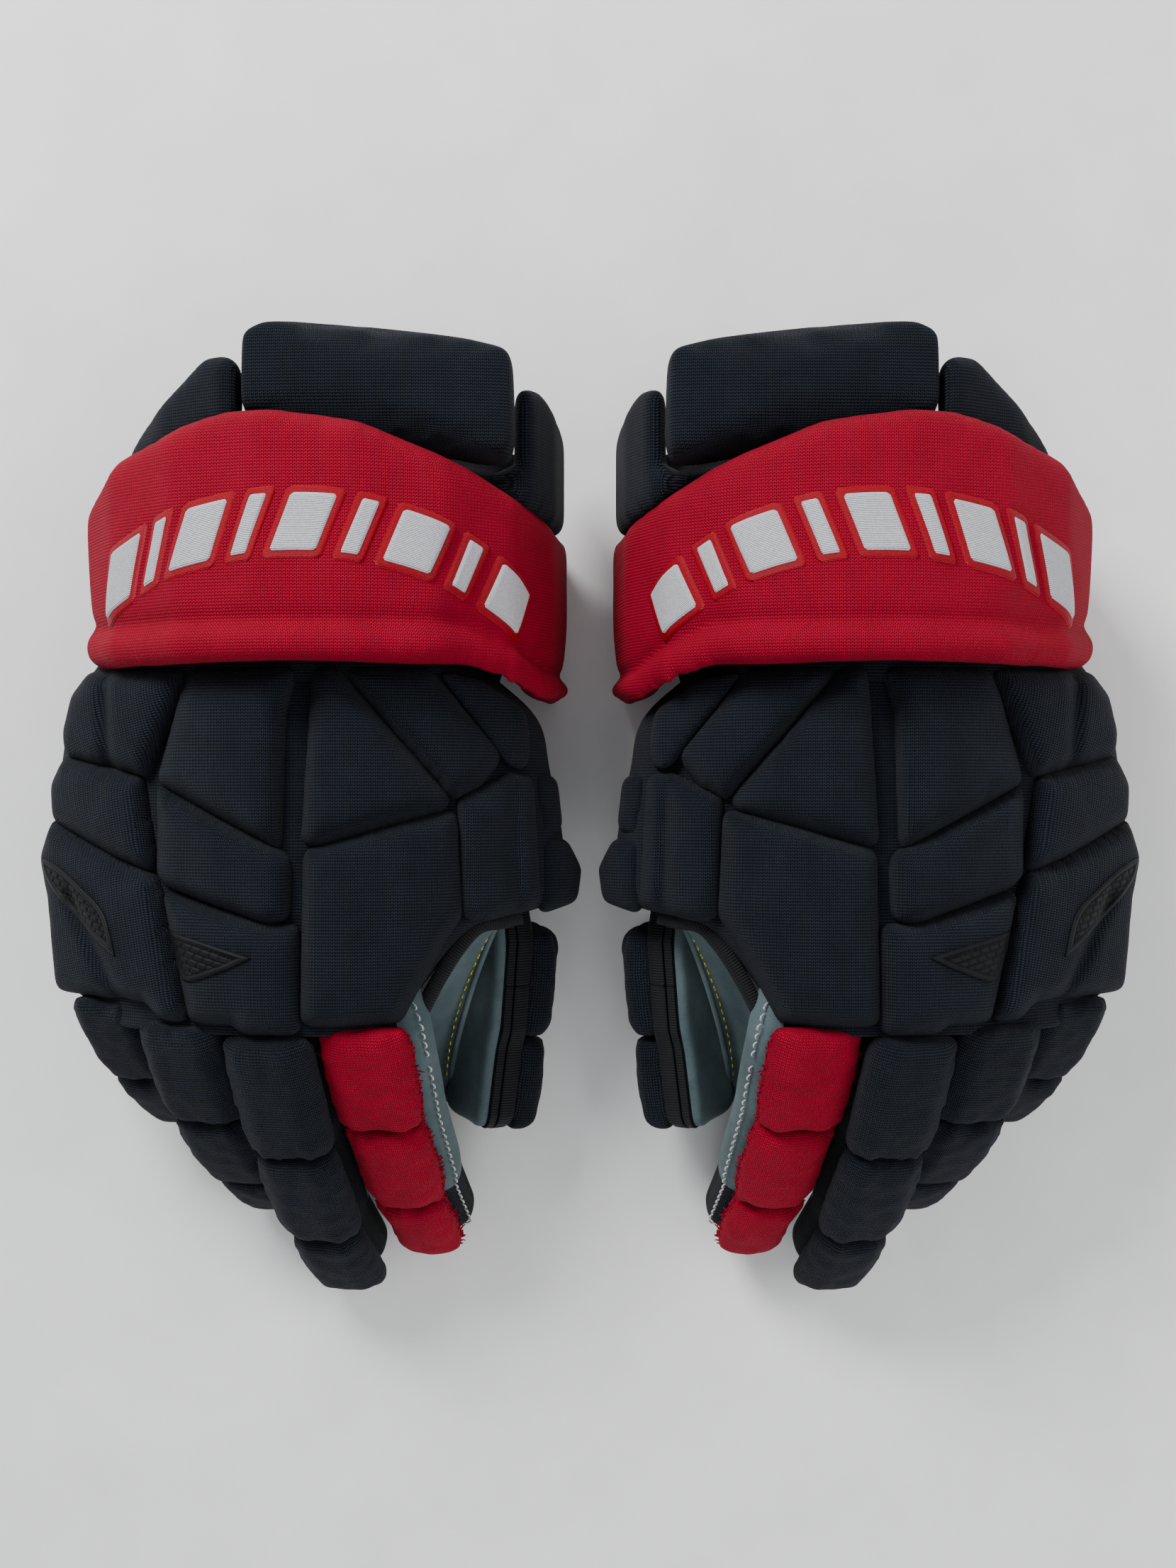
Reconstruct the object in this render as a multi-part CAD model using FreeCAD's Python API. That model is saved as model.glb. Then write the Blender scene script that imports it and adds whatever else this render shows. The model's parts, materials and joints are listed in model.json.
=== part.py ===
"""A pair of senior ice hockey gloves, lying palm down side by side.

Millimetres. +X runs across the pair, +Y towards the cuffs, +Z up. Each glove is built in
its own frame, with the thumb towards +X, and is then moved to its side of the pair. The
left glove is the mirror image of the right one. The backhand is an arch of foam rolls
over a hollow for the hand. Each finger is a chain of segments, and each segment has a
foam roll on top, two side gussets and a palm strip around its own hollow.
"""
import FreeCAD, Part
import math
import os

V = FreeCAD.Vector

# ---- the pair
GLOVE_OFFSET = 102.0        # from the middle of the pair to each glove's own origin
FRONT_SHIFT = 15.4          # moves the middle of the pair's box to the origin

# ---- the arch of the backhand, seen along the fingers
ARCH_TOP = 100.0            # height of the backhand above the table
ARCH_CENTRE = 12.0          # where the arch is highest
OUTER_SPAN = 100.0          # from the centre towards the little finger side
OUTER_DROP = 55.0           # how far the arch falls over that span
INNER_SPAN = 88.0           # from the centre towards the thumb side
INNER_DROP = 44.0
ARCH_XS = (-92, -80, -68, -56, -44, -32, -18, -3, 12, 27, 42, 56, 68, 80, 90, 99)

PAD = 15.0                  # thickness of the backhand rolls
LINER = 2.0                 # thickness of the lining under them
SKIN = 2.0                  # thickness of palm suede and finger gussets
PATCH_RISE = 1.2            # how far the rubber patches stand proud

# ---- digits: the knuckle is on the back of the digit, and tilt leans the back towards the thumb
EXTEND = 14.0               # clearance angle that each digit joint has on its back
FLEX = 16.0                 # clearance angle on its palm side
PIVOT_DEPTH = 8.0           # how deep below the back of a digit its hinge axis lies
ROLL = 11.0                 # thickness of a finger's foam roll
JOINT_GAP = 0.4
CROWN = 3.0                 # depth of a finger roll's narrower top
SHOULDER = 4.0              # width of the step beside it
GUSSET_INSET = 1.4          # how far the gussets stand in from the roll's sides
BAND_REACH = 20.0           # a segment is drawn this much too long and then cut back
TIP_CHAMFER = 6.0           # bevel over the fingertip
TIP_RISE = 9.0              # height above the palm side where the fingertip turns under
TIP_LEAN = 1.1              # how steeply it turns under
TIP_CAP = 4.0               # thickness of the cap that closes the fingertip

DIGITS = {
    "index": dict(knuckle=V(27, -78, 97), fwd=V(0, -1, 0), tilt=-11, depth=28,
                  lengths=(46, 42, 36), pitches=(33, 42, 50), widths=(28, 26.4, 24)),
    "middle": dict(knuckle=V(-4.5, -81, 97), fwd=V(0, -1, 0), tilt=-14, depth=28,
                   lengths=(52, 44, 38), pitches=(30, 40, 50), widths=(28, 26.4, 24)),
    "ring": dict(knuckle=V(-35, -78, 87), fwd=V(0, -1, 0), tilt=-18, depth=27,
                 lengths=(44, 38, 30), pitches=(32, 48, 62), widths=(28, 26.4, 24)),
    "pinky": dict(knuckle=V(-64, -72, 68), fwd=V(0, -1, 0), tilt=-23, depth=26,
                  lengths=(40, 36), pitches=(38, 56), widths=(27, 25)),
    "thumb": dict(knuckle=V(83, -48, 24), fwd=V(-6, -78, -9), tilt=122, depth=26,
                  lengths=(40, 34), pitches=(0, 3), widths=(34, 30)),
}


# ---------------------------------------------------------------- small builders
def arch_height(x):
    """Height of the top of the backhand at x."""
    if x < ARCH_CENTRE:
        return ARCH_TOP - OUTER_DROP * ((x - ARCH_CENTRE) / OUTER_SPAN) ** 2
    return ARCH_TOP - INNER_DROP * ((x - ARCH_CENTRE) / INNER_SPAN) ** 2


def extruded(points, along):
    """A solid swept from a closed outline of 3-D points."""
    return Part.Face(Part.makePolygon(list(points) + [points[0]])).extrude(along)


def plan_prism(outline, low=-10.0, high=160.0):
    """An upright prism over an outline in x and y."""
    return extruded([V(x, y, low) for x, y in outline], V(0, 0, high - low))


def side_prism(outline, low, high):
    """A prism along x over an outline in y and z."""
    return extruded([V(low, y, z) for y, z in outline], V(high - low, 0, 0))


def arch_slab(top_offset, bottom_offset):
    """The arch as a slab between two offsets below its top, along the whole glove."""
    top = [V(x, 130, arch_height(x) - top_offset) for x in ARCH_XS]
    bottom = [V(x, 130, arch_height(x) - bottom_offset) for x in reversed(ARCH_XS)]
    return extruded(top + bottom, V(0, -230, 0))


def arch_pad(outline, top_offset=0.0, bottom_offset=PAD):
    """The part of the arch inside an outline in x and y."""
    return arch_slab(top_offset, bottom_offset).common(plan_prism(outline))


def group(solids):
    """Several separate solids as one shape."""
    return Part.makeCompound([s for shape in solids for s in shape.Solids])


# ---------------------------------------------------------------- backhand and palm
BACKHAND_ROLLS = {
    "outer_roll_1": [(-67, 37), (-28, 37), (-31, 30), (-43.5, 3), (-77, 10.4), (-78, 18), (-74, 30)],
    "outer_roll_2": [(-78, 8.8), (-46, 1.6), (-40.6, -28.5), (-55, -24), (-83, -12), (-83.5, 0)],
    "outer_roll_3": [(-84, -13.4), (-55.5, -25.4), (-41, -30.4), (-39, -36), (-33.5, -56),
                     (-29, -76.6), (-38, -76.6), (-44, -70.6), (-81, -70.6), (-85, -40), (-89, -25.5)],
    "center_roll_1": [(-26.6, 37), (7.4, 37), (3.2, 24), (1.6, -20), (-39, 1), (-30, 30)],
    "center_roll_2": [(-39, -1), (2.4, -22), (4.8, -24.6), (4.4, -43.2), (-2, -44.2), (-35, -33),
                      (-39, -29.5)],
    "center_roll_3": [(-37, -35.5), (-1, -46.2), (8, -46), (8, -79.6), (-10, -79.6), (-12, -76.6),
                      (-27.4, -76.6), (-32, -56)],
    "inner_roll_1": [(14, 37), (20.5, 37), (55.4, -5), (53.4, -8), (13, -19.4), (10.4, -18)],
    "inner_roll_2": [(22.6, 37), (50, 37), (72, 10), (65, -.6), (57.4, -4.4)],
    "inner_roll_3": [(11, -22), (48, -11), (57.6, -9.4), (59.4, -42), (52, -53), (41, -74), (40, -76.6),
                     (10, -76.6)],
}

SIDE_ROLLS = [
    [(52.4, 37), (66, 34), (80, 24), (81.6, 11), (80, 4.6), (74.6, 6.4), (73.6, 9)],
    [(59.6, -5), (75, 2.6), (81.6, 2.2), (84, -40), (68, -44), (61, -43.6)],
]
SIDE_ROLL_1 = [(83.2, 4), (90, 2), (92, -16), (84.4, -17.6)]
SIDE_ROLL_2 = [(84.6, -18.8), (93, -20.6), (97.6, -30), (96.4, -39.6), (85.4, -43)]
SIDE_ROLL_DROP = (8.0, 34.0)    # these two hang on the thumb side, from here to here below the arch

PATCHES = [
    [(-35.5, -47), (-5, -55), (-28.5, -63.5)],
    [(-88, -24.6), (-78, -27.6), (-58, -42), (-53.5, -58), (-67, -48), (-86.5, -29)],
]

LINER_OUTLINE = [(-64, 36), (62, 36), (74, 26), (74, -40), (58, -50), (42, -74), (-40, -75),
                 (-50, -69), (-76, -69), (-76, 8)]
LINER_GAP = 0.2             # the lining clears the rolls above it by this much

PALM_SLOPE = [(38, 24), (-58, 34), (-58, 32), (38, 22)]
PALM_OUTLINE = [(-50, 38), (62, 38), (70, 24), (70, -38), (46, -58), (-76, -58), (-76, 4)]
KNUCKLE_SLOPE = [(-58, 34), (-74, 60), (-75.6, 58.4), (-58.2, 32)]
KNUCKLE_WIDTH = (-44, 42)
PALM_SIDES = (-76, 70)      # the outer and the thumb side of the palm
OUTER_WALL = [(4, 27.6), (4, 40), (-58, 40), (-58, 34)]
INNER_WALL = [(22, 25.7), (22, 62), (-38, 62), (-38, 32)]


def palm():
    """Suede palm: the floor, the panel that rises to the knuckles, and the two side gussets."""
    floor = side_prism(PALM_SLOPE, -90, 100).common(plan_prism(PALM_OUTLINE))
    knuckles = side_prism(KNUCKLE_SLOPE, *KNUCKLE_WIDTH)
    low, high = PALM_SIDES
    outer = side_prism(OUTER_WALL, low, low + SKIN)
    inner = side_prism(INNER_WALL, high - SKIN, high)
    return group([floor, knuckles, outer, inner])


def backhand_liner():
    """Thin lining under the rolls."""
    return arch_pad(LINER_OUTLINE, PAD + LINER_GAP, PAD + LINER_GAP + LINER)


def thumb_side_rolls():
    """Two rolls beside the backhand and two small ones that hang down beside the thumb."""
    rolls = [arch_pad(outline) for outline in SIDE_ROLLS]
    rolls += [arch_pad(outline, *SIDE_ROLL_DROP) for outline in (SIDE_ROLL_1, SIDE_ROLL_2)]
    return group(rolls)


def vent_patches():
    """Two rubber patches, standing just proud of the rolls they are fixed to."""
    return group([arch_pad(outline, -PATCH_RISE, 0.0) for outline in PATCHES])


# ---------------------------------------------------------------- cuff
CUFF_OUTSIDE = [(-64, 0), (-69, 30), (-66, 60), (-52, 86), (-28, 106), (0, 115), (28, 115), (54, 107),
                (76, 88), (88, 62), (92, 30), (88, 0)]
CUFF_INSIDE = [(75, 0), (78, 30), (75, 56), (65, 77), (48, 93), (26, 100), (0, 100), (-22, 92),
               (-41, 76), (-52, 56), (-55, 30), (-51, 0)]
CUFF_PLAN = [(-80, 48), (-60, 41), (62, 41), (74, 36), (84, 28), (100, 26), (100, 82), (88, 86),
             (62, 99), (30, 111), (4, 115), (-12, 115), (-50, 104), (-66, 92), (-80, 88)]
CUFF_LINER = 2.0
LINER_FOOT = 4.0            # the lining stops this high above the table

CUFF_ENDS = (20, 120)       # the band is drawn between these and then trimmed to its plan
LINER_FRONT = 42

OUTER_PAD_SECTION = [(-55, 40), (-51, 62), (-38, 79), (-14, 93), (-11, 84), (-32, 71), (-42, 56), (-45, 40)]
OUTER_PAD_PLAN = [(-58, 105.6), (-13.4, 117.4), (-13.4, 136), (-22, 136), (-46, 116)]
INNER_PAD_SECTION = [(80, 34), (80, 56), (71, 76), (80, 80), (88, 62), (91, 34)]
INNER_PAD_PLAN = [(64, 100.4), (92, 86.8), (92, 118), (84, 129), (79.4, 129), (79.4, 102), (64, 102)]
SIDE_PAD_ENDS = (80, 140)

TOP_PAD_PLAN = [(-11, 116.4), (4, 116.4), (31, 112.4), (50, 106), (76, 103), (78, 110), (77, 140),
                (60, 144), (-2, 149.5), (-10, 146)]
TOP_PAD_HEIGHT = (77.0, 96.0)
TOP_PAD_HINGE = V(0, 114, 77)   # a point of the line that the pad lifts about
TOP_PAD_TURN = -9.5         # direction of that line in plan, from +X
TOP_PAD_RELIEF = 16.0       # slope of its front face, so that it can lift


def arch_ring(outside, inside, front, back):
    """A band over the wrist, open underneath."""
    outline = [V(x, back, z) for x, z in outside + inside]
    return extruded(outline, V(0, front - back, 0))


def cuff_roll():
    """The wide foam roll over the wrist, which stands on the table at both ends."""
    return arch_ring(CUFF_OUTSIDE, CUFF_INSIDE, *CUFF_ENDS).common(plan_prism(CUFF_PLAN))


def cuff_liner():
    """Thin lining inside the roll."""
    shrink = [(x * 0.965 + 0.4, z - (0 if z == 0 else CUFF_LINER)) for x, z in CUFF_INSIDE]
    ring = arch_ring(list(reversed(CUFF_INSIDE)), shrink, LINER_FRONT, CUFF_ENDS[1])
    return ring.common(plan_prism(CUFF_PLAN, LINER_FOOT))


def cross_section_prism(section, plan):
    """A section in x and z, swept along y and trimmed to a plan outline."""
    front, back = SIDE_PAD_ENDS
    return extruded([V(x, front, z) for x, z in section], V(0, back - front, 0)).common(plan_prism(plan))


def cuff_side_pads():
    """Two firm pads behind the roll, one on each side of the wrist."""
    return group([cross_section_prism(OUTER_PAD_SECTION, OUTER_PAD_PLAN),
                  cross_section_prism(INNER_PAD_SECTION, INNER_PAD_PLAN)])


def cuff_top_pad():
    """The flap over the back of the wrist, cut back so that it can lift off the roll."""
    low, high = TOP_PAD_HEIGHT
    lean = math.tan(math.radians(TOP_PAD_RELIEF)) * (high - low)
    hinge = TOP_PAD_HINGE.y
    relief = side_prism([(hinge - 24, low), (hinge, low), (hinge + lean, high), (hinge - 24, high + 1)],
                        -30, 100)
    relief.rotate(TOP_PAD_HINGE, V(0, 0, 1), TOP_PAD_TURN)
    return plan_prism(TOP_PAD_PLAN, low, high).cut(relief)


# ---------------------------------------------------------------- digits
def turned(vector, axis, degrees):
    return FreeCAD.Rotation(axis, degrees).multVec(vector)


def digit_frame(digit):
    """Unit vectors along the digit, out of its back, and across it towards the thumb."""
    fwd = V(digit["fwd"]).normalize()
    up = turned(V(0, 0, 1), V(0, 1, 0), digit["tilt"])
    up = (up - fwd * fwd.dot(up)).normalize()
    return fwd, up, up.cross(fwd)


def back_points(digit):
    """The line of the digit's back in its own plane, from knuckle to tip."""
    points = [(0.0, 0.0)]
    for length, pitch in zip(digit["lengths"], digit["pitches"]):
        a, b = points[-1]
        turn = math.radians(pitch)
        points.append((a + length * math.cos(turn), b - length * math.sin(turn)))
    return points


def joint_pitch(digit, joint):
    """Pitch of the seam at a joint: level at the knuckle, halfway between segments after it."""
    if joint == 0:
        return 0.0
    return math.radians((digit["pitches"][joint - 1] + digit["pitches"][joint]) / 2)


def pivot(digit, joint):
    """The hinge axis of a joint, in the digit's plane."""
    a, b = back_points(digit)[joint]
    pitch = joint_pitch(digit, joint)
    return a - PIVOT_DEPTH * math.sin(pitch), b - PIVOT_DEPTH * math.cos(pitch)


def pivot_point(digit, joint):
    """The hinge axis of a joint, as a point in the glove."""
    a, b = pivot(digit, joint)
    fwd, up, side = digit_frame(digit)
    return digit["knuckle"] + fwd * a + up * b


def clipped(polygon, point, inward):
    """The part of a convex polygon on the side of a line that inward points to."""
    def height(p):
        return (p[0] - point[0]) * inward[0] + (p[1] - point[1]) * inward[1]
    kept = []
    for here, after in zip(polygon, polygon[1:] + polygon[:1]):
        h1, h2 = height(here), height(after)
        if h1 >= 0:
            kept.append(here)
        if h1 * h2 < 0:
            share = h1 / (h1 - h2)
            kept.append((here[0] + share * (after[0] - here[0]), here[1] + share * (after[1] - here[1])))
    return kept


def cut_at_joint(polygon, digit, joint, side, share):
    """Cut a segment back to its joint, with a wedge of clearance on its back and its palm side."""
    pitch = joint_pitch(digit, joint)
    along = (math.cos(pitch), -math.sin(pitch))
    out = (math.sin(pitch), math.cos(pitch))
    a, b = pivot(digit, joint)
    point = (a + side * JOINT_GAP * along[0], b + side * JOINT_GAP * along[1])
    for angle, sign in ((EXTEND * share, -1), (FLEX * share, 1)):
        turn = math.radians(angle)
        inward = [side * along[i] * math.cos(turn) + sign * out[i] * math.sin(turn) for i in (0, 1)]
        polygon = clipped(polygon, point, inward)
    return polygon


def band(digit, segment, top, bottom):
    """The side view of one segment between two depths below its back."""
    points = back_points(digit)
    pitch = math.radians(digit["pitches"][segment])
    along = (math.cos(pitch), -math.sin(pitch))
    out = (math.sin(pitch), math.cos(pitch))
    start, end = points[segment], points[segment + 1]

    def corner(origin, forward, depth):
        return (origin[0] + forward * along[0] - depth * out[0],
                origin[1] + forward * along[1] - depth * out[1])
    polygon = [corner(start, -BAND_REACH, top), corner(end, BAND_REACH, top),
               corner(end, BAND_REACH, bottom), corner(start, -BAND_REACH, bottom)]
    polygon = cut_at_joint(polygon, digit, segment, 1, 1.0 if segment == 0 else 0.5)
    if segment < len(digit["lengths"]) - 1:
        return cut_at_joint(polygon, digit, segment + 1, -1, 0.5)
    polygon = clipped(polygon, end, (-along[0], -along[1]))
    bevel = corner(end, -TIP_CHAMFER, 0)
    polygon = clipped(polygon, bevel, (-along[0] - out[0], -along[1] - out[1]))
    under = corner(end, 0, digit["depth"] - TIP_RISE)
    return clipped(polygon, under, (-along[0] + out[0] * TIP_LEAN, -along[1] + out[1] * TIP_LEAN))


def plate(digit, outline, low, high):
    """A plate standing on a side view, between two distances across the digit."""
    fwd, up, side = digit_frame(digit)
    origin = digit["knuckle"] + side * low
    return extruded([origin + fwd * a + up * b for a, b in outline], side * (high - low))


def segment_roll(digit, segment):
    """The foam roll on the back of a segment, with sloping shoulders."""
    width = digit["widths"][segment]
    shoulder = width / 2 - SHOULDER
    crown = plate(digit, band(digit, segment, 0, CROWN), -shoulder, shoulder)
    body = plate(digit, band(digit, segment, CROWN, ROLL), -width / 2, width / 2)
    return crown.fuse(body).removeSplitter()


def segment_sleeve(digit, segment):
    """Two side gussets and a palm strip, and a cap on the last segment, around the hollow."""
    half = digit["widths"][segment] / 2 - GUSSET_INSET
    depth = digit["depth"]
    walls = [plate(digit, band(digit, segment, ROLL, depth), half - SKIN, half),
             plate(digit, band(digit, segment, ROLL, depth), -half, SKIN - half),
             plate(digit, band(digit, segment, depth - SKIN, depth), SKIN - half, half - SKIN)]
    if segment == len(digit["lengths"]) - 1:
        end = back_points(digit)[-1]
        pitch = math.radians(digit["pitches"][segment])
        along = (math.cos(pitch), -math.sin(pitch))
        line = (end[0] - TIP_CAP * along[0], end[1] - TIP_CAP * along[1])
        cap = clipped(band(digit, segment, ROLL, depth - SKIN), line, along)
        walls.append(plate(digit, cap, SKIN - half, half - SKIN))
    return walls


def digit_segment(digit, segment):
    return group([segment_roll(digit, segment)] + segment_sleeve(digit, segment))


# ---------------------------------------------------------------- the pair
def glove_parts():
    """Every node of one glove in its own frame, by name."""
    parts = {name: arch_pad(outline) for name, outline in BACKHAND_ROLLS.items()}
    parts["palm"] = palm()
    parts["backhand_liner"] = backhand_liner()
    parts["thumb_side_rolls"] = thumb_side_rolls()
    parts["vent_patches"] = vent_patches()
    parts["cuff_roll"] = cuff_roll()
    parts["cuff_liner"] = cuff_liner()
    parts["cuff_side_pads"] = cuff_side_pads()
    parts["cuff_top_pad"] = cuff_top_pad()
    for name, digit in DIGITS.items():
        for segment in range(len(digit["lengths"])):
            parts[f"{name}_{segment + 1}"] = digit_segment(digit, segment)
    return parts


def placed(shape, hand):
    """Move a glove's shape to its place in the pair, mirrored for the left glove."""
    shape = shape.copy()
    shape.translate(V(-GLOVE_OFFSET, FRONT_SHIFT, 0))
    if hand == "left":
        shape = shape.mirror(V(0, 0, 0), V(1, 0, 0))
    return shape


def main():
    os.makedirs("parts", exist_ok=True)
    box = FreeCAD.BoundBox()
    for name, shape in glove_parts().items():
        for hand in ("right", "left"):
            node = placed(shape, hand)
            box.add(node.BoundBox)
            node.exportStep(f"parts/{hand}_{name}.step")
        state = "ok" if shape.isValid() else "INVALID"
        print(f"{name:18s} {len(shape.Solids)} solids {shape.Volume / 1000:8.2f} cm3 {state}")
    print("box", [round(v, 2) for v in (box.XMin, box.YMin, box.ZMin, box.XMax, box.YMax, box.ZMax)])


if __name__ == "__main__":
    main()
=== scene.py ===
"""A pair of ice hockey gloves: the looks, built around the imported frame.

Every soft piece is made once for the right glove, in the row frame, and mirrored for the
left one. Lengths are in metres. A point given as G(x, y, z) is in millimetres in the right
glove's own frame, whose thumb points to +x, as the CAD solids are laid out.
"""
import json
import math

import bmesh
import bpy
import numpy as np
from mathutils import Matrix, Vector, noise
from mathutils.bvhtree import BVHTree


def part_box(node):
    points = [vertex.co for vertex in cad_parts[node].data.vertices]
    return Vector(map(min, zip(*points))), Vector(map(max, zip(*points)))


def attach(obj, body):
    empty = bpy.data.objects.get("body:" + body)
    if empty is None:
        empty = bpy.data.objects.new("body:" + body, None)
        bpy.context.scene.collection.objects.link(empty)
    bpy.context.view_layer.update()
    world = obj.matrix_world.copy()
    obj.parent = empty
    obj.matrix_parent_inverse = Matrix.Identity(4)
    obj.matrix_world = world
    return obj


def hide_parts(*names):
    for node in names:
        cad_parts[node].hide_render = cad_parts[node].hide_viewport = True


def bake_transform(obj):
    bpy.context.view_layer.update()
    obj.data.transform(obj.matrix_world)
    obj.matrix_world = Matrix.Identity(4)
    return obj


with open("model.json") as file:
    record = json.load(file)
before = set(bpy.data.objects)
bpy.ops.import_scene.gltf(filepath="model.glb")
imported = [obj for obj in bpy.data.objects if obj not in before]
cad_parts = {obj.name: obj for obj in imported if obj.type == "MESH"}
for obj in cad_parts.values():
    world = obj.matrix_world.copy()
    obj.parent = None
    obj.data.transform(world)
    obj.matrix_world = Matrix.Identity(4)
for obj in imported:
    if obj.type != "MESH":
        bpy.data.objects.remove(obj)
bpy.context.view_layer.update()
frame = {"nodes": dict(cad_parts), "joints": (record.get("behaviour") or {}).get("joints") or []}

MM = 0.001

# ---- the right glove's own frame, found from its cuff roll
CUFF_RIGHT_EDGE = 92 * MM
CUFF_FRONT_EDGE = 27 * MM
cuff_low, cuff_high = (Vector(corner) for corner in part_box("right_cuff_roll"))
GLOVE_X = cuff_high.x - CUFF_RIGHT_EDGE
GLOVE_Y = cuff_low.y - CUFF_FRONT_EDGE
ARCH_MIDDLE = 12.0          # the backhand is highest here, in the glove's frame
HAND_WRAP = (ARCH_MIDDLE, 10, 90.0)     # x, z and radius of the line that the hand's fabric wraps
CUFF_WRAP = (ARCH_MIDDLE, 40, 75)       # and that the cuff's fabric wraps


def G(x, y, z):
    """A point in the row frame from millimetres in the right glove's frame."""
    return Vector((x * MM + GLOVE_X, y * MM + GLOVE_Y, z * MM))


def arch_height(x):
    """Height of the backhand's rolls at x, in the glove's frame, in millimetres."""
    if x < ARCH_MIDDLE:
        return 100 - 55 * ((x - ARCH_MIDDLE) / 100) ** 2
    return 100 - 44 * ((x - ARCH_MIDDLE) / 88) ** 2


# ======== node materials
class Nodes:
    """Short names for building a material's nodes."""

    def __init__(self, name):
        self.material = bpy.data.materials.new(name)
        self.material.use_nodes = True
        self.tree = self.material.node_tree
        self.shader = self.tree.nodes["Principled BSDF"]

    def link(self, value, socket):
        if isinstance(value, bpy.types.NodeSocket):
            self.tree.links.new(value, socket)
        else:
            socket.default_value = value

    def math(self, operation, a, b=0.5):
        node = self.tree.nodes.new("ShaderNodeMath")
        node.operation = operation
        self.link(a, node.inputs[0])
        self.link(b, node.inputs[1])
        return node.outputs[0]

    def plus(self, a, b):
        return self.math("ADD", a, b)

    def times(self, a, b):
        return self.math("MULTIPLY", a, b)

    def wave(self, value, length):
        """A sine of the value, with one cycle each length."""
        return self.math("SINE", self.times(value, 2 * math.pi / length))

    def weave(self):
        """The two fabric coordinates that each knitted or woven piece carries, in metres."""
        node = self.tree.nodes.new("ShaderNodeAttribute")
        node.attribute_name = "weave"
        split = self.tree.nodes.new("ShaderNodeSeparateXYZ")
        self.tree.links.new(node.outputs["Vector"], split.inputs[0])
        return split.outputs[0], split.outputs[1]

    def noise(self, scale, detail):
        """Noise at the surface's rest position."""
        node = self.tree.nodes.new("ShaderNodeTexNoise")
        node.inputs["Scale"].default_value = scale
        node.inputs["Detail"].default_value = detail
        node.inputs["Roughness"].default_value = 0.55
        place = self.tree.nodes.new("ShaderNodeTexCoord").outputs["Object"]
        self.tree.links.new(place, node.inputs["Vector"])
        return node.outputs["Fac"]

    def ramp(self, value, *stops):
        node = self.tree.nodes.new("ShaderNodeValToRGB")
        ramp = node.color_ramp
        while len(ramp.elements) < len(stops):
            ramp.elements.new(0.5)
        for element, (where, colour) in zip(ramp.elements, stops):
            element.position = where
            element.color = (*colour, 1)
        self.tree.links.new(value, node.inputs[0])
        return node.outputs[0]

    def bump(self, height, distance, strength, normal=None):
        node = self.tree.nodes.new("ShaderNodeBump")
        node.inputs["Strength"].default_value = strength
        node.inputs["Distance"].default_value = distance
        self.tree.links.new(height, node.inputs["Height"])
        if normal is not None:
            self.tree.links.new(normal, node.inputs["Normal"])
        return node.outputs[0]

    def finish(self, colour, normal, rough, specular, sheen=0.0, sheen_tint=(1, 1, 1)):
        shader = self.shader
        self.link(colour, shader.inputs["Base Color"])
        if normal is not None:
            self.tree.links.new(normal, shader.inputs["Normal"])
        self.link(rough, shader.inputs["Roughness"])
        shader.inputs["Sheen Weight"].default_value = sheen
        shader.inputs["Sheen Roughness"].default_value = 0.4
        shader.inputs["Sheen Tint"].default_value = (*sheen_tint, 1)
        shader.inputs["Specular IOR Level"].default_value = specular
        return self.material


def knit(name, dark, mid, light, sheen, pitch=1.1 * MM, course=1.0 * MM):
    """Knitted nylon: columns of v-shaped loops, with painted shade in the holes between them and a painted
    highlight on the loops' crests.
    """
    n = Nodes(name)
    u, v = n.weave()
    across = n.math("PINGPONG", n.times(u, 1 / pitch), 0.5)
    slanted = n.plus(n.times(v, 1 / course), n.times(across, 0.9))
    height = n.plus(n.times(n.wave(slanted, 1), 0.3), n.times(n.wave(across, 1), 0.55))
    height = n.plus(height, 0.25)
    cloudy = n.times(n.math("SUBTRACT", n.noise(90, 3), 0.5), 0.2)
    tone = n.plus(n.plus(n.times(height, 0.62), n.times(n.noise(2600, 2), 0.3)), cloudy)
    # painted light: the ramp follows the loops' height, so the dark stop is painted shade in the holes and
    # the light stop is a painted highlight on the crests; the noise adds random tone
    colour = n.ramp(tone, (0.12, dark), (0.5, mid), (0.95, light))
    soft = n.bump(n.noise(420, 3), 0.5 * MM, 0.22, n.bump(height, LOOP_RELIEF, 0.9))
    return n.finish(colour, soft, 0.8, 0.12, sheen)


def suede(name, dark, light):
    """Synthetic suede: a short nap with darker, rubbed patches."""
    n = Nodes(name)
    nap = n.noise(2200, 3)
    tone = n.plus(n.times(n.noise(55, 4), 0.75), n.times(nap, 0.3))
    colour = n.ramp(tone, (0.25, dark), (0.8, light))
    soft = n.bump(n.noise(160, 3), 1 * MM, 0.25, n.bump(nap, 0.2 * MM, 0.5))
    return n.finish(colour, soft, 0.92, 0.1, 0.12, (0.9, 0.95, 1))


def ribbed(name, dark, light):
    """Grosgrain tape with ribs across it, with painted shade between the ribs and a painted highlight on
    them.
    """
    n = Nodes(name)
    u, v = n.weave()
    height = n.plus(n.times(n.wave(v, 0.95 * MM), 0.42), n.times(n.wave(u, 0.35 * MM), 0.08))
    height = n.plus(height, 0.5)
    # painted light: the ramp follows the ribs' height, the dark stop as painted shade between the ribs and
    # the light stop as a painted highlight on them, plus random tone from the noise
    colour = n.ramp(n.plus(height, n.times(n.noise(900, 2), 0.2)), (0.2, dark), (0.95, light))
    return n.finish(colour, n.bump(height, LOOP_RELIEF, 0.9), 0.65, 0.2, 0.04)


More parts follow.
